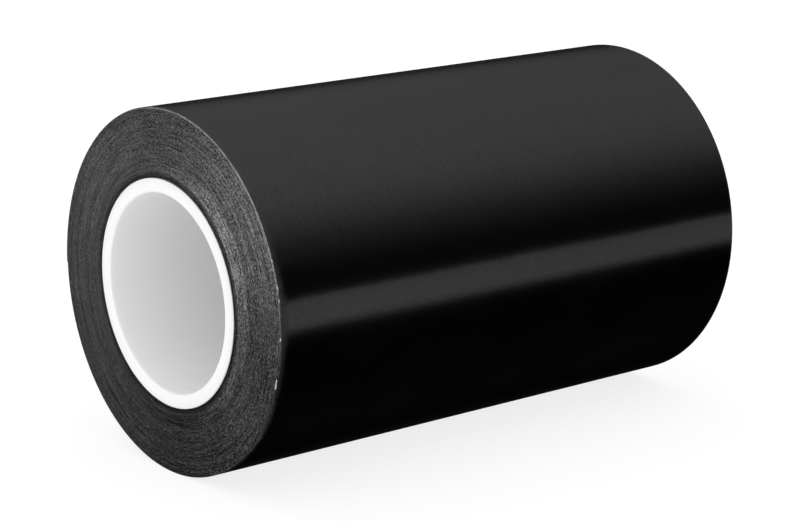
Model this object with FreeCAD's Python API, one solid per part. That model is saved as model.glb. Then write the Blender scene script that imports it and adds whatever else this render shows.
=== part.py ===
import FreeCAD, Part
import math
import os

# ---------------------------------------------------------------------------
# Roll of self-adhesive sign film on a plastic core.
# Frame: origin at the middle of the core's bore, +Y along the roll's axis,
# +Z up with the roll lying on its side.  Millimetres.
# ---------------------------------------------------------------------------

# Core: 3 inch bore, moulded tube
CORE_BORE_R = 38.1
CORE_WALL = 5.5
CORE_STANDS_OUT = 1.0          # core stands out of the film by this, each end
CORE_EDGE_R = 0.6              # rounded rims of the core

# Web: film with its adhesive, on a clear film liner, wound face out
WEB_WIDTH = 228.6              # 9 inch
ROLL_R = 69.85                 # 5.5 inch roll
FILM_T = 0.100                 # 75 micron film and 25 micron adhesive
LINER_T = 0.094
LAYER_GAP = 0.003              # between the adhesive and the liner
TURN_PITCH = 0.202             # film, liner and the air wound in between turns

# Strip of double-sided tape that starts the web on the core
START_TAPE_T = 0.08
START_TAPE_W = 25.0
START_LAP = 15.0               # length of web that lies on the tape
START_GAP = 0.09               # from the tape to the first turn, at its mean radius

# Free end of the web
TAIL_LINE = 135.0              # where the free end lets go of the roll, degrees
TAIL_ROOT = 18.0               # film still on its liner past that line, length
TAIL_LENGTH = 56.0             # from the line to the cut end, length
TAIL_GAP = 0.12                # the slack free end stands off the roll by this

# ---------------------------------------------------------------------------
CORE_R = CORE_BORE_R + CORE_WALL
CORE_LENGTH = WEB_WIDTH + 2.0 * CORE_STANDS_OUT
LAMINATE_T = FILM_T + LAYER_GAP + LINER_T
LINE_U = math.radians(TAIL_LINE)
ROOT_U = LINE_U + TAIL_ROOT / ROLL_R
END_U = LINE_U + TAIL_LENGTH / ROLL_R
TURNS = (ROLL_R - LAMINATE_T - CORE_R - START_TAPE_T - START_GAP) / TURN_PITCH
START_U = END_U - 2.0 * math.pi * TURNS

os.makedirs("parts", exist_ok=True)

# The wound web is a two-centre spiral: half-turns about two centres that lie
# TURN_PITCH / 2 apart on the X axis, so every half-turn meets the next in
# tangency and each turn lies TURN_PITCH outside the last.
# Half-turn k covers angles k*pi to (k+1)*pi.
K_END = math.floor(END_U / math.pi)


def half(k):
    """centre x and outer film radius of half-turn k"""
    cx = -TURN_PITCH / 4.0 if k % 2 == 0 else TURN_PITCH / 4.0
    return cx, ROLL_R - (K_END - k) * TURN_PITCH / 2.0


def point(u, depth, k=None):
    """point on the spiral at unrolled angle u, depth inside the film's face"""
    if k is None:
        k = math.floor(u / math.pi + 1e-9)
    cx, r = half(k)
    r -= depth
    return FreeCAD.Vector(cx + r * math.cos(u), 0.0, r * math.sin(u))


def run(u1, u2, depth):
    """arcs of the spiral from u1 to u2, as a list of (start, middle, end)"""
    out = []
    u = u1
    while u < u2 - 1e-9:
        k = math.floor(u / math.pi + 1e-9)
        v = min((k + 1) * math.pi, u2)
        out.append((point(u, depth, k), point((u + v) / 2.0, depth, k), point(v, depth, k)))
        u = v
    return out


def arcs(pieces):
    return [Part.Arc(a, m, b).toShape() for a, m, b in pieces]


def extruded(edges, width):
    """closed outline in the plane of the roll's end, made into a web-wide solid"""
    wire = Part.Wire(Part.__sortEdges__(edges))
    face = Part.Face(wire)
    solid = face.extrude(FreeCAD.Vector(0.0, width, 0.0))
    solid.translate(FreeCAD.Vector(0.0, -width / 2.0, 0.0))
    if solid.Volume < 0:
        solid.reverse()
    return solid


def strip(u1, u2, top, thickness):
    """part of one layer of the web, its outer side at depth top"""
    outer = run(u1, u2, top)
    inner = run(u1, u2, top + thickness)
    edges = arcs(outer) + arcs(inner)
    edges.append(Part.LineSegment(outer[0][0], inner[0][0]).toShape())
    edges.append(Part.LineSegment(outer[-1][2], inner[-1][2]).toShape())
    return extruded(edges, WEB_WIDTH)


def save(shape, name):
    if len(shape.Solids) == 1:
        shape = shape.Solids[0]
    assert shape.isValid(), name
    shape.exportStep("parts/%s.step" % name)
    b = shape.BoundBox
    print("%-16s volume %.1f mm3  x %.2f..%.2f  y %.2f..%.2f  z %.2f..%.2f" % (
        name, shape.Volume, b.XMin, b.XMax, b.YMin, b.YMax, b.ZMin, b.ZMax))


AXIS = FreeCAD.Vector(0, 1, 0)

# --- core -------------------------------------------------------------------
base = FreeCAD.Vector(0, -CORE_LENGTH / 2.0, 0)
core = Part.makeCylinder(CORE_R, CORE_LENGTH, base, AXIS).cut(
    Part.makeCylinder(CORE_BORE_R, CORE_LENGTH + 2.0, base - AXIS, AXIS))
rims = [e for e in core.Edges
        if isinstance(e.Curve, Part.Circle) and abs(abs(e.Curve.Center.y) - CORE_LENGTH / 2.0) < 1e-6]
core = core.makeFillet(CORE_EDGE_R, rims)
save(core, "core")

# --- tape that starts the web on the core -------------------------------------
def at(r, a):
    return FreeCAD.Vector(r * math.cos(a), 0.0, r * math.sin(a))


def arc(r, a, b):
    return Part.Arc(at(r, a), at(r, (a + b) / 2.0), at(r, b)).toShape()


a2 = START_U + START_LAP / CORE_R
a1 = a2 - START_TAPE_W / CORE_R
save(extruded([arc(CORE_R, a1, a2), arc(CORE_R + START_TAPE_T, a1, a2),
               Part.LineSegment(at(CORE_R, a1), at(CORE_R + START_TAPE_T, a1)).toShape(),
               Part.LineSegment(at(CORE_R, a2), at(CORE_R + START_TAPE_T, a2)).toShape()], WEB_WIDTH),
     "core_start_tape")

# --- the wound web: film outside, its liner inside, from the core to the free end --
save(strip(START_U, LINE_U, 0.0, FILM_T), "vinyl_film")
save(strip(START_U, LINE_U, FILM_T + LAYER_GAP, LINER_T), "release_liner")

# --- free end of the web ----------------------------------------------------------
save(strip(LINE_U, ROOT_U, -TAIL_GAP, FILM_T), "tail_film_root")
save(strip(ROOT_U, END_U, -TAIL_GAP, FILM_T), "tail_film_tip")
save(strip(LINE_U, END_U, FILM_T + LAYER_GAP - TAIL_GAP, LINER_T), "tail_liner")

# --- where the free end hinges ------------------------------------------------------
for label, u in (("tail line", LINE_U), ("peel line", ROOT_U), ("cut end", END_U)):
    p = point(u, -TAIL_GAP)
    print("%-10s x %.4f z %.4f" % (label, p.x, p.z))
length = 0.0
for a, m, b in run(START_U, END_U, FILM_T):
    length += Part.Arc(a, m, b).toShape().Length
print("web: %.1f turns, %.2f m" % (TURNS, length / 1000.0))
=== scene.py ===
import math

import bpy
import numpy as np
from mathutils import Matrix, Vector


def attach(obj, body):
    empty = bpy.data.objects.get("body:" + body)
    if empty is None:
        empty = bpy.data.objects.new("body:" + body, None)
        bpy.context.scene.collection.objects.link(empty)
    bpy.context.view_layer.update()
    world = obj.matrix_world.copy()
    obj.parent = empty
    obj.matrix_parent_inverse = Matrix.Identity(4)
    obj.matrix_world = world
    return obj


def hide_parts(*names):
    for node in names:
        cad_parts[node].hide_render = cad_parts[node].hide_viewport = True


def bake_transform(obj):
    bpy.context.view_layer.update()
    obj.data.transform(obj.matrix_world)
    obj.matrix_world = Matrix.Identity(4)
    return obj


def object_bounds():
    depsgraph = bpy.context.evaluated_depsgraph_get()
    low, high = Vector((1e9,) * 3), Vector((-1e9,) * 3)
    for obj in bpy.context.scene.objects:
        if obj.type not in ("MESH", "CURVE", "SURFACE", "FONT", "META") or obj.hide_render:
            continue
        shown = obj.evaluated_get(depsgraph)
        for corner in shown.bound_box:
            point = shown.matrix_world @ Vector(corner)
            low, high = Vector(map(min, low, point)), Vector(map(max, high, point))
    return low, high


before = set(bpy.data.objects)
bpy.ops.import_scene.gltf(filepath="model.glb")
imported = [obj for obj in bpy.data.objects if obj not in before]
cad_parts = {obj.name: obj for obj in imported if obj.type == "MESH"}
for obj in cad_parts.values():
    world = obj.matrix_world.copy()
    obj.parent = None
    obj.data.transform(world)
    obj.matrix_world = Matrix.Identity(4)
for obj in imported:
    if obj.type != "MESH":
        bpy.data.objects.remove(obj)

CAD_BOX = [list(v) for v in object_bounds()]
MM = 0.001

# ---------------------------------------------------------------------------
# The roll's numbers, as in the CAD source (millimetres and radians)
# ---------------------------------------------------------------------------
CORE_BORE_R, CORE_WALL, CORE_OUT = 38.1, 5.5, 1.0
WEB, ROLL_R = 228.6, 69.85
FILM_T, LINER_T, LAYER_GAP, PITCH = 0.100, 0.094, 0.003, 0.202
TAPE_T = 0.15
TAIL_LINE, TAIL_ROOT, TAIL_LENGTH, TAIL_GAP = 135.0, 18.0, 56.0, 0.12
CORE_R = CORE_BORE_R + CORE_WALL
LAMINATE = FILM_T + LAYER_GAP + LINER_T
LINE_U = math.radians(TAIL_LINE)
END_U = LINE_U + TAIL_LENGTH / ROLL_R
TURNS = (ROLL_R - LAMINATE - CORE_R - TAPE_T - 0.02) / PITCH
START_U = END_U - 2 * math.pi * TURNS
K_END = math.floor(END_U / math.pi)
HALF = WEB / 2 + 0.25                            # slit edges stand a touch proud
TAU = 2 * math.pi
OFF_SQUARE, OFF_ANGLE = 0.85, math.radians(237)    # the ends of the core are cut a little off square

SEED = 7281
rng = np.random.RandomState(SEED)


def smooth(x, a, b):
    """0 below a, 1 above b, smooth between"""
    t = np.clip((np.asarray(x, float) - a) / (b - a), 0, 1)
    return t * t * (3 - 2 * t)


def wander(x, period, amount, seed):
    """smooth value noise along x"""
    x = np.asarray(x, float) / period
    r = np.random.RandomState(seed).uniform(-1, 1, 4096)
    i = np.floor(x).astype(int)
    f = x - i
    f = f * f * (3 - 2 * f)
    return amount * (r[i % 4096] * (1 - f) + r[(i + 1) % 4096] * f)


def spiral_xz(u, depth):
    """place on the two-centre spiral, depth under the film's face"""
    u = np.asarray(u, float)
    k = np.floor(u / math.pi + 1e-9)
    cx = np.where(k % 2 == 0, -PITCH / 4, PITCH / 4)
    r = ROLL_R - (K_END - k) * PITCH / 2 - depth
    return cx + r * np.cos(u), r * np.sin(u)


# ---------------------------------------------------------------------------
# How the web lies: each turn sits a little to one side or the other, so the
# ends show its turns.  The web keeps its width, so both ends move together.
# ---------------------------------------------------------------------------
JITTER = rng.normal(0, 1, 400)


def side_shift(u):
    """how far this stretch of web is pushed towards +Y, mm"""
    u = np.asarray(u, float)
    n = (u - START_U) / TAU                      # turns from the core
    r = CORE_R + TAPE_T + n * PITCH
    s = -0.84 + 1.05 * smooth(r, 46.4, 51.8) + 0.19 * smooth(r, 51.0, 69.0)
    s = s + OFF_SQUARE * np.cos(u - OFF_ANGLE) * (1 - smooth(r, 46.0, 60.0))
    s = s + wander(n, 9.0, 0.007, SEED + 1) + wander(n, 2.7, 0.012, SEED + 2)
    turn = n + 0.5
    i = np.floor(turn).astype(int)
    f = smooth(turn - i, 0.0, 1.0)
    jit = JITTER[i % 400] * (1 - f) + JITTER[(i + 1) % 400] * f
    s = s + 0.020 * jit
    s = s + wander(u, 1.7, 0.010, SEED + 3)
    return s


def slack(u, y, depth_turns=None):
    """outward bulge of the loosened last turns by the front end, mm"""
    u = np.asarray(u, float)
    back = (LINE_U - u) / TAU                    # turns back from the line
    phi = (np.degrees(u) + 180) % 360 - 180
    amount = 0.62 * np.exp(-np.clip(back, 0, None) / 0.62)
    window = np.exp(-((phi + 6) / 30.0) ** 2)
    along = np.exp(-(np.clip(np.asarray(y, float) + HALF, 0, None) / 13.0) ** 1.6)
    return amount * window * along


def knife_lean(u):
    """how far the slit leans, mm over half a layer; it changes in steps of a few turns"""
    n = (np.asarray(u, float) - START_U) / TAU
    r = CORE_R + TAPE_T + n * PITCH
    band = smooth(r, 46.6, 47.6) * (1 - smooth(r, 50.2, 52.4))
    band = band * (0.58 + 0.42 * np.cos(u - math.radians(38)))
    return (0.0115 + 0.0180 * band + wander(n, 2.3, 0.0020, SEED + 5) + wander(n, 0.9, 0.0080, SEED + 6)
            + wander(u, 0.9, 0.004, SEED + 7))


def ring_solid(name, us, top, thick, stations, lift=None, crown=0.011):
    """closed strip of web.  us: columns along the web.  top: depth of its outer side.
    stations: places across the web, -1 front edge to 1 back edge.
    lift(u, y) pushes it outward.  Returns vertices, quads, material numbers."""
    us = np.asarray(us, float)
    st = np.asarray(stations, float)
    m = len(us)
    shift = side_shift(us)
    rows = []                                    # (depth, y) per ring vertex

    def place(depth, y):
        x, z = spiral_xz(us, depth)
        push = lift(us, y) if lift is not None else 0.0
        x = x + push * np.cos(us)
        z = z + push * np.sin(us)
        return np.stack([x, y, z], -1)

    front = -HALF + shift
    back = HALF + shift
    # the knife leans a little, so the outer corner lies in from the inner one
    lean = knife_lean(us)
    ring = []
    for s in st:                                 # outer side, front to back
        ring.append(place(top, front + (back - front) * (s + 1) / 2 - lean * s))
    ring.append(place(top + thick / 2, back + crown))
    for s in st[::-1]:                           # inner side, back to front
        ring.append(place(top + thick, front + (back - front) * (s + 1) / 2 + lean * s))
    ring.append(place(top + thick / 2, front - crown))
    co = np.stack(ring, 1)                       # columns x ring x 3
    n = co.shape[1]
    verts = co.reshape(-1, 3) * MM
    i = np.arange(m - 1)[:, None]
    j = np.arange(n)[None, :]
    a = i * n + j
    b = i * n + (j + 1) % n
    c = (i + 1) * n + (j + 1) % n
    d = (i + 1) * n + j
    quads = np.stack([a, b, c, d], -1).reshape(-1, 4)
    ns = len(st)
    kind = np.zeros(n, int)                      # 0 outer face, 1 edge, 2 inner face
    kind[ns - 1] = 1
    kind[ns] = 1
    kind[ns + 1:ns + ns] = 2
    kind[2 * ns] = 1
    kind[2 * ns + 1] = 1
    kinds = np.broadcast_to(kind[None, :], (m - 1, n)).reshape(-1)
    caps = [list(range(n))[::-1], [(m - 1) * n + q for q in range(n)]]
    corner = np.zeros((m, n), bool)
    corner[:, [0, ns - 1, ns + 1, 2 * ns]] = True
    return verts, quads, kinds, caps, corner.reshape(-1), n


def make_mesh(name, shells, mats):
    """one object from closed shells, with its corners kept sharp"""
    verts, faces, kinds, sharp = [], [], [], []
    off = 0
    for v, q, k, caps, corner, n in shells:
        verts.append(v)
        faces.append((q + off, k, [[c + off for c in cap] for cap in caps]))
        sharp.append(corner)
        off += len(v)
    V = np.concatenate(verts)
    corner = np.concatenate(sharp)
    mesh = bpy.data.meshes.new(name)
    loops, starts, totals, mat = [], [], [], []
    at = 0
    for q, k, caps in faces:
        loops.append(q.reshape(-1))
        starts.append(at + 4 * np.arange(len(q)))
        totals.append(np.full(len(q), 4))
        mat.append(k)
        at += 4 * len(q)
        for cap in caps:
            loops.append(np.array(cap))
            starts.append(np.array([at]))
            totals.append(np.array([len(cap)]))
            mat.append(np.array([1]))
            at += len(cap)
    loops = np.concatenate(loops).astype(np.int32)
    starts = np.concatenate(starts).astype(np.int32)
    totals = np.concatenate(totals).astype(np.int32)
    mesh.vertices.add(len(V))
    mesh.vertices.foreach_set("co", V.astype(np.float32).reshape(-1))
    mesh.loops.add(len(loops))
    mesh.loops.foreach_set("vertex_index", loops)
    mesh.polygons.add(len(starts))
    mesh.polygons.foreach_set("loop_start", starts)
    mesh.polygons.foreach_set("loop_total", totals)
    mesh.update(calc_edges=True)
    mesh.polygons.foreach_set("material_index", np.concatenate(mat).astype(np.int32))
    mesh.polygons.foreach_set("use_smooth", np.ones(len(starts), bool))
    e = np.empty(len(mesh.edges) * 2, np.int32)
    mesh.edges.foreach_get("vertices", e)
    e = e.reshape(-1, 2)
    se = mesh.attributes.new("sharp_edge", "BOOLEAN", "EDGE")
    se.data.foreach_set("value", corner[e[:, 0]] & corner[e[:, 1]])
    mesh.validate()
    mesh.update()
    obj = bpy.data.objects.new(name, mesh)
    bpy.context.scene.collection.objects.link(obj)
    for m in mats:
        mesh.materials.append(m)
    return obj


# ---------------------------------------------------------------------------
# Materials
# ---------------------------------------------------------------------------
class Net:
    def __init__(self, name):
        self.mat = bpy.data.materials.new(name)
        self.mat.use_nodes = True
        self.t = self.mat.node_tree
        for n in list(self.t.nodes):
            self.t.nodes.remove(n)
        self.out = self.t.nodes.new("ShaderNodeOutputMaterial")
        self.b = self.t.nodes.new("ShaderNodeBsdfPrincipled")
        self.t.links.new(self.b.outputs[0], self.out.inputs[0])

    def n(self, kind, **kw):
        node = self.t.nodes.new(kind)
        for k, v in kw.items():
            setattr(node, k, v)
        return node

    def link(self, a, b):
        self.t.links.new(a, b)

    def put(self, socket, value):
        if isinstance(value, bpy.types.NodeSocket):
            self.link(value, socket)
        else:
            socket.default_value = value

    def math(self, op, a, b=None, c=None, clamp=False):
        m = self.n("ShaderNodeMath", operation=op, use_clamp=clamp)
        for i, v in enumerate((a, b, c)):
            if v is not None:
                self.put(m.inputs[i], v)
        return m.outputs[0]

    def coords(self):
        return self.n("ShaderNodeTexCoord").outputs["Object"]

    def xyz(self, v):
        s = self.n("ShaderNodeSeparateXYZ")
        self.link(v, s.inputs[0])
        return s.outputs[0], s.outputs[1], s.outputs[2]

    def vec(self, x, y, z):
        c = self.n("ShaderNodeCombineXYZ")
        for i, v in enumerate((x, y, z)):
            self.put(c.inputs[i], v)
        return c.outputs[0]

    def noise(self, vector, scale, detail=2.0, rough=0.5, out=0):
        n = self.n("ShaderNodeTexNoise")
        self.put(n.inputs["Vector"], vector)
        n.inputs["Scale"].default_value = scale
        n.inputs["Detail"].default_value = detail
        n.inputs["Roughness"].default_value = rough
        return n.outputs[out]

    def remap(self, v, a, b, c, d, smoothstep=False):
        m = self.n("ShaderNodeMapRange")
        m.interpolation_type = "SMOOTHSTEP" if smoothstep else "LINEAR"
        self.put(m.inputs[0], v)
        for i, x in enumerate((a, b, c, d)):
            self.put(m.inputs[i + 1], x)
        return m.outputs[0]

    def mix(self, f, a, b):
        m = self.n("ShaderNodeMix", data_type="RGBA")
        self.put(m.inputs[0], f)
        self.put(m.inputs[6], a)
        self.put(m.inputs[7], b)
        return m.outputs[2]

    def bump(self, height, strength, distance, normal=None):
        b = self.n("ShaderNodeBump")
        b.inputs["Strength"].default_value = strength
        b.inputs["Distance"].default_value = distance
        self.link(height, b.inputs["Height"])
        if normal is not None:
            self.link(normal, b.inputs["Normal"])
        return b.outputs[0]


def grey(v, warm=0.0):
    return (v * (1 + warm), v, v * (1 - warm), 1.0)


def polar(m):
    """radius from the roll's axis, angle round it, and place along it"""
    x, y, z = m.xyz(m.coords())
    r = m.math("SQRT", m.math("ADD", m.math("MULTIPLY", x, x), m.math("MULTIPLY", z, z)))
    a = m.math("ARCTAN2", z, x)
    return r, a, y


def film_face():
    m = Net("film_face")
    p = m.coords()
    r, a, y = polar(m)
    web = m.vec(m.math("MULTIPLY", a, 0.06985), y, 0.0)
    # fine grain of the pressed face, long faint drag lines along the web, soft patches
    grain = m.noise(p, 2100.0, 2.0, 0.6)
    peel = m.noise(p, 420.0, 1.0, 0.5)
    drag = m.noise(m.vec(m.math("MULTIPLY", a, 0.9), m.math("MULTIPLY", y, 700.0), 0.0), 1.0, 3.0, 0.6)
    patch = m.noise(p, 34.0, 3.0, 0.55)
    base = m.mix(m.remap(patch, 0.35, 0.7, 0.0, 1.0), grey(0.0003), grey(0.0008))
    # painted glow: the last few millimetres before each slit edge are made lighter, mostly at the front
    front_edge_glow = m.math("POWER", m.math("MAXIMUM", m.remap(y, -0.1105, -0.1146, 0.0, 1.0, True), m.math("MULTIPLY", m.remap(y, 0.1125, 0.1146, 0.0, 1.0, True), 0.3)), 1.6)
    front_edge_glow = m.math("MULTIPLY", front_edge_glow, m.remap(m.noise(p, 230.0, 4.0, 0.7), 0.34, 0.66, 0.35, 1.0))
    base = m.mix(front_edge_glow, base, grey(0.018))
    # painted glow: a brighter patch low on the right of the front rim
    low_right_glow = m.math("MULTIPLY", m.remap(a, -0.98, -0.76, 0.0, 1.0), m.remap(a, -0.58, -0.40, 1.0, 0.0))
    low_right_glow = m.math("MULTIPLY", m.math("MULTIPLY", low_right_glow, front_edge_glow), m.remap(m.noise(p, 600.0, 3.0, 0.7), 0.40, 0.62, 0.2, 1.0, True))
    m.put(m.b.inputs["Base Color"], m.mix(low_right_glow, base, grey(0.075)))
    rough = m.math("ADD", m.remap(grain, 0.25, 0.75, 0.085, 0.120), m.remap(patch, 0.3, 0.7, -0.010, 0.010))
    rough = m.math("ADD", rough, m.remap(drag, 0.55, 0.75, 0.0, 0.015))
    end = m.math("MAXIMUM", m.remap(y, -0.1080, -0.1146, 0.0, 1.0, True), m.math("MULTIPLY", m.remap(y, 0.1120, 0.1146, 0.0, 1.0, True), 0.35))
    end = m.math("MULTIPLY", m.math("POWER", end, 2.2), m.remap(m.noise(p, 150.0, 3.0, 0.6), 0.3, 0.7, 0.6, 1.3))
    rough = m.math("ADD", rough, m.math("MULTIPLY", end, 0.34))
    m.put(m.b.inputs["Roughness"], rough)
    m.b.inputs["IOR"].default_value = 1.5
    m.put(m.b.inputs["Specular IOR Level"], m.math("ADD", m.remap(grain, 0.30, 0.70, 0.34, 0.66), m.remap(drag, 0.35, 0.65, -0.020, 0.020)))
    h = m.bump(m.noise(p, 33.0, 2.0, 0.5), 1.0, 0.00007)
    h = m.bump(peel, 0.14, 0.00006, h)
    h = m.bump(grain, 0.22, 0.00002, h)
    m.link(h, m.b.inputs["Normal"])
    return m.mat


def film_back():
    """adhesive side of the film: darker, tacky sheen, fine printed-in texture of the liner"""
    m = Net("film_adhesive")
    p = m.coords()
    cells = m.n("ShaderNodeTexVoronoi", feature="DISTANCE_TO_EDGE")
    m.link(p, cells.inputs["Vector"])
    cells.inputs["Scale"].default_value = 900.0
    fine = m.noise(p, 1500.0, 2.0, 0.5)
    patch = m.noise(p, 60.0, 3.0, 0.55)
    m.put(m.b.inputs["Base Color"], m.mix(m.remap(patch, 0.3, 0.7, 0.0, 1.0), grey(0.004), grey(0.009, 0.04)))
    m.put(m.b.inputs["Roughness"], m.remap(fine, 0.3, 0.7, 0.26, 0.40))
    m.b.inputs["IOR"].default_value = 1.47
    h = m.bump(cells.outputs["Distance"], 0.25, 0.00003)
    m.link(m.bump(fine, 0.2, 0.00002, h), m.b.inputs["Normal"])
    return m.mat


def slit_edge(name, low, high, light, rough):
    """cut edge of a layer: grey that changes from turn to turn and along each turn"""
    m = Net(name)
    p = m.coords()
    r, a, y = polar(m)
    ca, sa = m.math("COSINE", a), m.math("SINE", a)

    def rings(per_mm, across, detail):
        k = m.math("MULTIPLY", r, 1000.0 * per_mm)
        return m.noise(m.vec(k, m.math("MULTIPLY", ca, across), m.math("MULTIPLY", sa, across)), 1.0, detail, 0.6)

    wide, fine = rings(0.9, 1.6, 1.0), rings(2.3, 4.0, 1.0)
    speck = m.noise(p, 2100.0, 1.0, 0.6)
    salt = rings(1.7, 62.0, 2.0)
    cut = m.noise(p, 4200.0, 2.0, 0.65)
    broad = m.noise(p, 45.0, 3.0, 0.6)
    grain = m.remap(m.math("ADD", m.math("MULTIPLY", speck, 0.6), m.math("MULTIPLY", salt, 0.4)), 0.44, 0.58, 0.0, 1.0, True)
    line = m.remap(fine, 0.38, 0.62, 0.0, 1.0, True)
    v = m.math("MULTIPLY", m.remap(salt, 0.51, 0.62, 0.0, 1.0, True), m.math("ADD", 0.45, m.math("MULTIPLY", line, 0.55)))
    v = m.math("ADD", v, m.remap(wide, 0.32, 0.68, 0.0, 0.04))
    v = m.math("ADD", v, m.remap(broad, 0.35, 0.65, -0.04, 0.04), clamp=True)
    # painted shade: the first turns, next to the core, are darkened as if shaded by the core's rim; they are also
    # rougher and less shiny
    first = m.remap(r, 0.0442, 0.0474, 0.0, 1.0, True)
    col = m.mix(v, grey(low), grey(high, 0.01))
    col = m.mix(first, grey(low * 0.30, 0.10), col)
    # painted highlight: a light band on the turns that lean out, a few millimetres from the core, brightest towards the
    # right
    band = m.math("MULTIPLY", m.remap(r, 0.0459, 0.0470, 0.0, 1.0, True), m.remap(r, 0.0496, 0.0522, 1.0, 0.0, True))
    lit = m.remap(m.math("ADD", m.math("MULTIPLY", ca, 0.92), m.math("MULTIPLY", sa, 0.39)), -0.20, 1.0, 0.0, 1.0, True)
    turn_highlight_breakup = m.math("ADD", 0.10, m.math("MULTIPLY", m.math("MULTIPLY", m.remap(salt, 0.42, 0.60, 0.0, 1.0, True), m.math("ADD", 0.35, m.math("MULTIPLY", line, 0.65))), 0.90))
    col = m.mix(m.math("MULTIPLY", m.math("MULTIPLY", band, lit), turn_highlight_breakup), col, grey(0.18))
    # painted highlight: the last turns are whitened along the upper right of the rim, a light line broken by noise
    side = m.math("ADD", m.math("MULTIPLY", ca, 0.62), m.math("MULTIPLY", sa, 0.78))
    rim = m.math("MULTIPLY", m.remap(r, 0.06875, 0.06905, 0.0, 1.0, True), m.remap(r, 0.06940, 0.06962, 1.0, 0.25, True))
    rim_highlight_breakup = m.remap(m.noise(p, 300.0, 3.0, 0.7), 0.36, 0.60, 0.30, 1.0)
    rim_highlight = m.math("MULTIPLY", m.math("MULTIPLY", rim, m.remap(side, 0.45, 0.88, 0.0, 1.0, True)), rim_highlight_breakup)
    col = m.mix(m.math("MULTIPLY", rim_highlight, 0.8), col, grey(light))
    # painted glints: a few bright spots on the outermost turns, which have sprung out on the right
    rim_glint = m.math("MULTIPLY", m.remap(r, 0.06880, 0.06915, 0.0, 1.0, True), m.remap(ca, 0.88, 0.95, 0.0, 1.0, True))
    rim_glint = m.math("MULTIPLY", rim_glint, m.remap(m.noise(p, 330.0, 2.0, 0.6), 0.58, 0.66, 0.0, 1.0, True))
    m.put(m.b.inputs["Base Color"], m.mix(rim_glint, col, grey(0.62)))
    m.put(m.b.inputs["Roughness"], m.math("ADD", m.remap(cut, 0.3, 0.7, rough - 0.07, rough + 0.08), m.math("MULTIPLY", m.math("SUBTRACT", 1.0, first), 0.22)))
    # burnished spots shine, torn ones don't
    shine = m.math("ADD", 0.06, m.math("MULTIPLY", m.math("ADD", m.math("MULTIPLY", grain, 0.62), m.math("MULTIPLY", line, 0.38)), 0.94))
    m.put(m.b.inputs["Specular IOR Level"], m.math("MULTIPLY", shine, m.math("ADD", 0.35, m.math("MULTIPLY", first, 0.65))))
    m.b.inputs["IOR"].default_value = 1.9
    h = m.bump(speck, 0.42, 0.00008)
    h = m.bump(cut, 0.40, 0.00004, h)
    m.link(m.bump(fine, 0.35, 0.00016, h), m.b.inputs["Normal"])
    return m.mat


def liner_face():
    m = Net("liner_clear_film")
    p = m.coords()
    fine = m.noise(p, 1300.0, 2.0, 0.5)
    haze = m.noise(p, 40.0, 3.0, 0.6)
    m.put(m.b.inputs["Base Color"], m.mix(m.remap(haze, 0.3, 0.7, 0.0, 1.0), (0.86, 0.88, 0.89, 1), (0.93, 0.94, 0.94, 1)))
    m.put(m.b.inputs["Roughness"], m.remap(fine, 0.3, 0.7, 0.05, 0.11))
    m.b.inputs["Transmission Weight"].default_value = 0.92
    m.b.inputs["IOR"].default_value = 1.6
    m.link(m.bump(fine, 0.1, 0.00002), m.b.inputs["Normal"])
    return m.mat


def core_plastic():
    m = Net("core_white_plastic")
    p = m.coords()
    r, a, y = polar(m)
    fine = m.noise(p, 900.0, 3.0, 0.6)
    cloud = m.noise(p, 38.0, 4.0, 0.6)
    draw = m.noise(m.vec(m.math("MULTIPLY", m.math("COSINE", a), 42.0), m.math("MULTIPLY", y, 1.5), m.math("MULTIPLY", m.math("SINE", a), 42.0)), 1.0, 3.0, 0.6)
    saw = m.noise(m.vec(m.math("MULTIPLY", r, 5200.0), m.math("MULTIPLY", a, 0.7), 0.0), 1.0, 2.0, 0.5)
    inside = m.remap(r, 0.0380, 0.0384, 1.0, 0.0, True)
    col = m.mix(m.remap(cloud, 0.3, 0.7, 0.0, 1.0), (0.925, 0.925, 0.918, 1), (0.955, 0.955, 0.950, 1))
    col = m.mix(m.math("MULTIPLY", inside, m.remap(draw, 0.3, 0.7, 0.6, 1.0)), col, (0.895, 0.895, 0.895, 1))
    # painted shade: the outer part of the core's end ring, towards the film, is made greyer and warmer
    outer = m.math("MULTIPLY", m.remap(r, 0.0405, 0.0432, 0.0, 1.0, True), m.remap(cloud, 0.3, 0.7, 0.5, 1.0))
    col = m.mix(outer, col, (0.865, 0.855, 0.838, 1))
    m.put(m.b.inputs["Base Color"], col)
    m.put(m.b.inputs["Roughness"], m.math("ADD", m.remap(fine, 0.3, 0.7, 0.34, 0.46), m.math("MULTIPLY", inside, 0.08)))
    m.b.inputs["IOR"].default_value = 1.49
    m.b.inputs["Subsurface Weight"].default_value = 0.25
    m.b.inputs["Subsurface Radius"].default_value = (0.0022, 0.0020, 0.0018)
    m.b.inputs["Subsurface Scale"].default_value = 1.0
    h = m.bump(draw, 0.12, 0.0002)
    h = m.bump(saw, 0.10, 0.00005, h)
    m.link(m.bump(fine, 0.12, 0.00004, h), m.b.inputs["Normal"])
    return m.mat


def start_tape():
    m = Net("start_tape_paper")
    p = m.coords()
    f = m.noise(p, 800.0, 3.0, 0.6)
    m.put(m.b.inputs["Base Color"], m.mix(m.remap(f, 0.3, 0.7, 0.0, 1.0), (0.66, 0.63, 0.55, 1), (0.78, 0.76, 0.69, 1)))
    m.put(m.b.inputs["Roughness"], m.remap(f, 0.3, 0.7, 0.55, 0.75))
    m.link(m.bump(f, 0.3, 0.0001), m.b.inputs["Normal"])
    return m.mat


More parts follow.
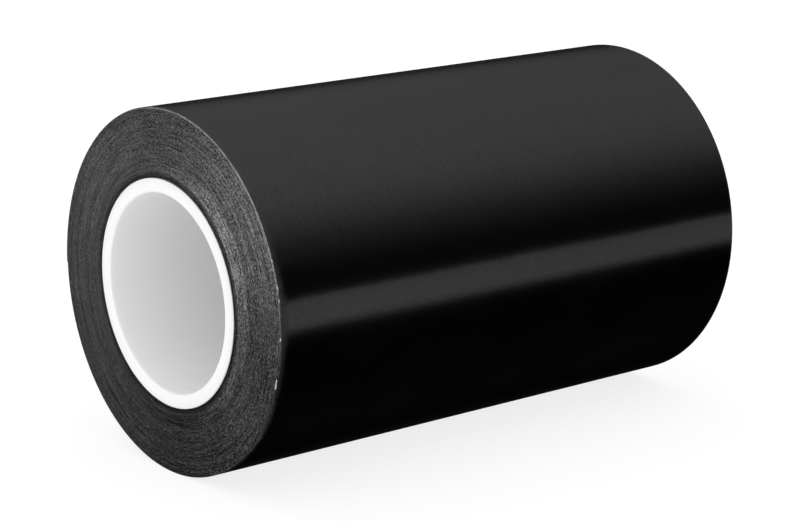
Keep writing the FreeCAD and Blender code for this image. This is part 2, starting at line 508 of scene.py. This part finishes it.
def floor_mat():
    m = Net("studio_floor")
    p = m.coords()
    f = m.noise(p, 3.0, 3.0, 0.5)
    m.put(m.b.inputs["Base Color"], m.mix(m.remap(f, 0.3, 0.7, 0.0, 1.0), (0.20, 0.20, 0.20, 1), (0.215, 0.215, 0.215, 1)))
    m.b.inputs["Roughness"].default_value = 0.9
    m.b.inputs["Specular IOR Level"].default_value = 0.0
    m.b.inputs["Emission Color"].default_value = (1, 1, 1, 1)
    m.b.inputs["Emission Strength"].default_value = 0.82
    return m.mat


FACE, ADHESIVE = film_face(), film_back()
FILM_EDGE = slit_edge("film_slit_edge", 0.001, 0.062, 0.26, 0.34)
LINER_EDGE = slit_edge("liner_slit_edge", 0.001, 0.110, 0.34, 0.30)
LINER = liner_face()
CORE, TAPE = core_plastic(), start_tape()

# ---------------------------------------------------------------------------
# The wound web
# ---------------------------------------------------------------------------
OUTER = 4                                        # last turns, made finer
SPLIT_U = math.floor((LINE_U - OUTER * TAU) / TAU) * TAU + math.radians(200)


def columns(u1, u2, per_turn):
    n = max(2, int(round((u2 - u1) / TAU * per_turn)) + 1)
    return np.linspace(u1, u2, n)


EDGE2 = [-1.0, 1.0]
ACROSS = [-1.0, -0.985, -0.965, -0.94, -0.905, -0.86, -0.78, -0.45, 0.2, 0.8, 1.0]

film = make_mesh("vinyl_film_web", [
    ring_solid("a", columns(START_U, SPLIT_U, 88), 0.0, FILM_T, EDGE2),
    ring_solid("b", columns(SPLIT_U, LINE_U, 300), 0.0, FILM_T, ACROSS, lift=slack),
], [FACE, FILM_EDGE, ADHESIVE])
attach(film, "roll")
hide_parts("vinyl_film")

liner = make_mesh("release_liner_web", [
    ring_solid("a", columns(START_U, SPLIT_U, 88), FILM_T + LAYER_GAP, LINER_T, EDGE2),
    ring_solid("b", columns(SPLIT_U, LINE_U, 300), FILM_T + LAYER_GAP, LINER_T, ACROSS,
               lift=lambda u, y: slack(u, y) * 0.97),
], [LINER, LINER_EDGE, LINER])
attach(liner, "roll")
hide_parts("release_liner")

# ---------------------------------------------------------------------------
# Free end of the web
# ---------------------------------------------------------------------------
MID_U = LINE_U + 15.0 / ROLL_R
TAIL_ACROSS = np.concatenate([[-1, -0.99, -0.97, -0.94, -0.9], np.linspace(-0.82, 0.82, 13), [0.9, 0.94, 0.97, 0.99, 1]])


def tail_lift(u, y):
    """the slack end stands off the roll a little, more at its cut end and corners"""
    s = (np.asarray(u, float) - LINE_U) * ROLL_R
    rise = TAIL_GAP * smooth(s, 0.0, 9.0)
    t = np.clip((s - 20.0) / (TAIL_LENGTH - 20.0), 0, 1)
    corner = np.abs(np.asarray(y, float) / HALF) ** 6
    return rise + t ** 2 * (0.02 + 0.07 * corner)


root = make_mesh("tail_film_root_web", [
    ring_solid("r", columns(LINE_U, MID_U, 360), 0.0, FILM_T, TAIL_ACROSS, lift=tail_lift)],
    [FACE, FILM_EDGE, ADHESIVE])
tip = make_mesh("tail_film_tip_web", [
    ring_solid("t", columns(MID_U, END_U, 360), 0.0, FILM_T, TAIL_ACROSS, lift=tail_lift)],
    [FACE, FILM_EDGE, ADHESIVE])
tail_liner = make_mesh("tail_liner_web", [
    ring_solid("l", columns(LINE_U, END_U, 360), FILM_T + LAYER_GAP, LINER_T, TAIL_ACROSS, lift=tail_lift)],
    [LINER, LINER_EDGE, LINER])


def on_face(u, depth=0.0):
    x, z = spiral_xz(u, depth)
    return Vector((float(x) * MM, 0.0, float(z) * MM))


def along(u, length):
    """point length mm further on in the web's direction, straight"""
    p = on_face(u, -TAIL_GAP)
    t = Vector((-math.sin(u), 0.0, math.cos(u)))
    return p + t * length * MM


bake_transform(root)
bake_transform(tail_liner)
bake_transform(tip)
for piece, node, slot in ((root, "tail_film_root", "film_face"), (tip, "tail_film_tip", "film_face"),
                          (tail_liner, "tail_liner", "liner")):
    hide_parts(node)

# ---------------------------------------------------------------------------
# Core: a turned profile, swept round the axis
# ---------------------------------------------------------------------------
def core_profile():
    """closed section of the tube, (radius, y) in mm, front end at -y"""
    L = HALF + CORE_OUT
    pts = []
    ro, ri = CORE_R - 0.06, CORE_BORE_R
    rim_o, rim_i = 0.28, 0.80

    def corner(cr, cy, rad, a0, a1, n, fy):
        for a in np.linspace(a0, a1, n):
            pts.append((cr + rad * math.cos(a), fy * (cy + rad * math.sin(a))))

    # front end: outer corner, face, inner corner
    sections = []
    for fy in (-1, 1):
        pts = []
        corner(ro - rim_o, L - rim_o, rim_o, 0, math.pi / 2, 7, fy)
        pts.append((ro - rim_o - 0.9, fy * (L - 0.012)))
        pts.append((0.5 * (ro + ri), fy * (L - 0.020)))
        pts.append((ri + rim_i + 0.7, fy * (L - 0.012)))
        corner(ri + rim_i, L - rim_i, rim_i, math.pi / 2, math.pi, 8, fy)
        sections.append(pts)
    front, back = sections
    inner = [(ri, y) for y in (-112.5, -108, -100, -85, -60, -30, 0, 30, 60, 85, 100, 108, 112.5)]
    outer = [(ro, y) for y in (112.5, 108, 90, 40, 0, -40, -90, -108, -112.5)]
    return front + inner + back[::-1] + outer


def lathe(name, profile, n, mats):
    prof = np.array(profile)
    a = np.linspace(0, TAU, n, endpoint=False)
    x = prof[:, 0][None, :] * np.cos(a)[:, None]
    z = prof[:, 0][None, :] * np.sin(a)[:, None]
    y = np.broadcast_to(prof[:, 1][None, :], x.shape)
    y = y + OFF_SQUARE * np.cos(a - OFF_ANGLE)[:, None] * smooth(np.abs(prof[:, 1]), 105.0, 113.5)[None, :]
    V = np.stack([x, y, z], -1).reshape(-1, 3) * MM
    m = len(prof)
    i = np.arange(n)[:, None]
    j = np.arange(m)[None, :]
    q = np.stack([i * m + j, i * m + (j + 1) % m, ((i + 1) % n) * m + (j + 1) % m, ((i + 1) % n) * m + j], -1).reshape(-1, 4)
    mesh = bpy.data.meshes.new(name)
    mesh.from_pydata(V.tolist(), [], q.tolist())
    mesh.polygons.foreach_set("use_smooth", np.ones(len(mesh.polygons), bool))
    mesh.update()
    obj = bpy.data.objects.new(name, mesh)
    bpy.context.scene.collection.objects.link(obj)
    for mt in mats:
        mesh.materials.append(mt)
    return obj


core = lathe("core_tube", core_profile(), 256, [CORE])
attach(core, "roll")
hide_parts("core")

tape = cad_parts["core_start_tape"]
tape.data.materials.clear()
tape.data.materials.append(TAPE)


def outward(obj):
    """turn the faces the right way out if the whole mesh is inside out"""
    import bmesh
    bm = bmesh.new()
    bm.from_mesh(obj.data)
    if bm.calc_volume(signed=True) < 0:
        bmesh.ops.reverse_faces(bm, faces=bm.faces)
        bm.to_mesh(obj.data)
    bm.free()
    obj.data.update()


for o in (film, liner, root, tip, tail_liner, core):
    outward(o)

# ---------------------------------------------------------------------------
# Floor, light and camera
# ---------------------------------------------------------------------------
low = min(CAD_BOX[0][2], CAD_BOX[1][2])
S = 14.0
fm = bpy.data.meshes.new("floor")
fm.from_pydata([(-S, -S, low), (S, -S, low), (S, S, low), (-S, S, low)], [], [(0, 1, 2, 3)])
floor = bpy.data.objects.new("floor", fm)
bpy.context.scene.collection.objects.link(floor)
fm.materials.append(floor_mat())
floor.visible_glossy = False

# Studio: a soft overhead box and one strip light low on the right, both long beside
# the roll, a fainter strip on the left, and soft lights off both ends.  What gloss
# sees of the room is given by the angle round the roll's long direction.
PROFILE = [(-180, 0.02), (-150, 0.010), (-120, 0.002), (-90, 0.012), (-38, 0.004), (-30, 0.012),
           (-25, 0.045), (-22, 0.16), (-19, 0.70), (-16.5, 0.95), (-10, 0.95), (-6, 0.92), (-1.8, 0.86), (-0.4, 0.15), (3.5, 0.040), (10, 0.038),
           (18, 0.070), (26, 0.170), (34, 0.310), (42, 0.520), (50, 0.720), (62, 0.900), (78, 0.92), (102, 0.74), (126, 0.46), (150, 0.25),
           (163, 0.13), (172, 0.04)]
world = bpy.data.worlds.new("studio")
bpy.context.scene.world = world
world.use_nodes = True
world.cycles.sampling_method = "NONE"
wt = world.node_tree
for n in list(wt.nodes):
    wt.nodes.remove(n)


def wn(kind, **kw):
    n = wt.nodes.new(kind)
    for k, v in kw.items():
        setattr(n, k, v)
    return n


def wmath(op, a, b=None, c=None, clamp=False):
    n = wn("ShaderNodeMath", operation=op, use_clamp=clamp)
    for i, v in enumerate((a, b, c)):
        if v is None:
            continue
        if isinstance(v, bpy.types.NodeSocket):
            wt.links.new(v, n.inputs[i])
        else:
            n.inputs[i].default_value = v
    return n.outputs[0]


def wmap(v, a, b, c, d, smoothstep=True):
    n = wn("ShaderNodeMapRange")
    n.interpolation_type = "SMOOTHSTEP" if smoothstep else "LINEAR"
    wt.links.new(v, n.inputs[0])
    for i, x in enumerate((a, b, c, d)):
        n.inputs[i + 1].default_value = x
    return n.outputs[0]


def room(x, z):
    """brightness of the room round the roll's long direction"""
    t = wmath("ADD", wmath("DIVIDE", wmath("ARCTAN2", z, x), TAU), 0.5)
    # the strip runs a degree lower at its far end
    t = wmath("ADD", t, wmath("MULTIPLY", wmath("SUBTRACT", wmap(dy, 0.4, 0.8, 0.4, 0.8, False), 0.60), 12.0 / 360.0))
    ramp = wn("ShaderNodeValToRGB")
    wt.links.new(t, ramp.inputs[0])
    cr = ramp.color_ramp
    cr.interpolation = "LINEAR"
    stops = [((a + 180) / 360.0, v) for a, v in PROFILE]
    cr.elements[0].position, cr.elements[-1].position = stops[0][0], stops[-1][0]
    cr.elements[0].color = (stops[0][1],) * 3 + (1,)
    cr.elements[-1].color = (stops[-1][1],) * 3 + (1,)
    for pos, v in stops[1:-1]:
        e = cr.elements.new(pos)
        e.color = (v, v, v, 1)
    g = wn("ShaderNodeRGBToBW")
    wt.links.new(ramp.outputs[0], g.inputs[0])
    return g.outputs[0]


def lamp(direction, inner, outer, strength):
    """round soft light: cosines of the angles where it is full and where it ends"""
    v = Vector(direction).normalized()
    d = wmath("ADD", wmath("ADD", wmath("MULTIPLY", dx, v.x), wmath("MULTIPLY", dy, v.y)), wmath("MULTIPLY", dz, v.z))
    return wmap(d, outer, inner, 0.0, strength)


tc = wn("ShaderNodeTexCoord")
sep = wn("ShaderNodeSeparateXYZ")
wt.links.new(tc.outputs["Generated"], sep.inputs[0])
dx, dy, dz = sep.outputs
# the long lights fade towards the far end; before the front end stands a grey screen
# on the left, over a dark floor, with a lamp in front of the roll
along_y = wmap(dy, 0.52, 0.70, 1.0, 0.66, False)
aside = wmath("MULTIPLY", wmap(dy, -0.30, 0.15, 1.0, 0.0), wmap(dx, -0.35, 0.05, 1.0, 0.0))
long_lights = wmath("MULTIPLY", wmath("MULTIPLY", room(dx, dz), along_y), wmath("SUBTRACT", 1.0, aside))
screen = wmath("MULTIPLY", wmap(dz, -0.42, -0.18, 0.00, 0.19), aside)
gloss = wmath("ADD", long_lights, screen)
gloss = wmath("ADD", gloss, lamp((-0.29, -0.93, 0.17), 1.0, 0.86, 1.65))
gloss = wmath("ADD", gloss, lamp((-0.93, -0.27, -0.16), 0.998, 0.94, 0.72))
gloss = wmath("ADD", gloss, lamp((-0.44, -0.72, -0.55), 1.0, 0.94, 0.30))
gloss = wmath("ADD", gloss, lamp((0.30, 0.94, 0.16), 0.995, 0.955, 0.55))
path = wn("ShaderNodeLightPath")
soft = wmath("ADD", 1.04, wmath("MULTIPLY", dz, 0.12))
level = wmath("ADD", wmath("MULTIPLY", gloss, path.outputs["Is Glossy Ray"]),
              wmath("MULTIPLY", soft, wmath("SUBTRACT", 1.0, path.outputs["Is Glossy Ray"])))
bg = wn("ShaderNodeBackground")
wt.links.new(level, bg.inputs["Strength"])
bg.inputs["Color"].default_value = (1, 1, 1, 1)
wo = wn("ShaderNodeOutputWorld")
wt.links.new(bg.outputs[0], wo.inputs[0])

# camera: looks down 14 degrees, 50.5 degrees round from the roll's axis
A, E = math.radians(50.53), math.radians(13.85)
fwd = Vector((-math.sin(A) * math.cos(E), math.cos(A) * math.cos(E), -math.sin(E)))
right = Vector((math.cos(A), math.sin(A), 0.0))
up = right.cross(fwd)
eye = Vector((0.76257, -0.63062, 0.23851))
cd = bpy.data.cameras.new("camera")
cd.sensor_width = 36.0
cd.lens = 36.0 * 2549.5 / 800.0
cd.clip_start, cd.clip_end = 0.05, 50.0
cam = bpy.data.objects.new("camera", cd)
bpy.context.scene.collection.objects.link(cam)
cam.matrix_world = Matrix((
    (right.x, up.x, -fwd.x, eye.x),
    (right.y, up.y, -fwd.y, eye.y),
    (right.z, up.z, -fwd.z, eye.z),
    (0, 0, 0, 1)))
bpy.context.scene.camera = cam
bpy.context.scene.view_settings.view_transform = "Standard"
bpy.context.scene.view_settings.look = "None"
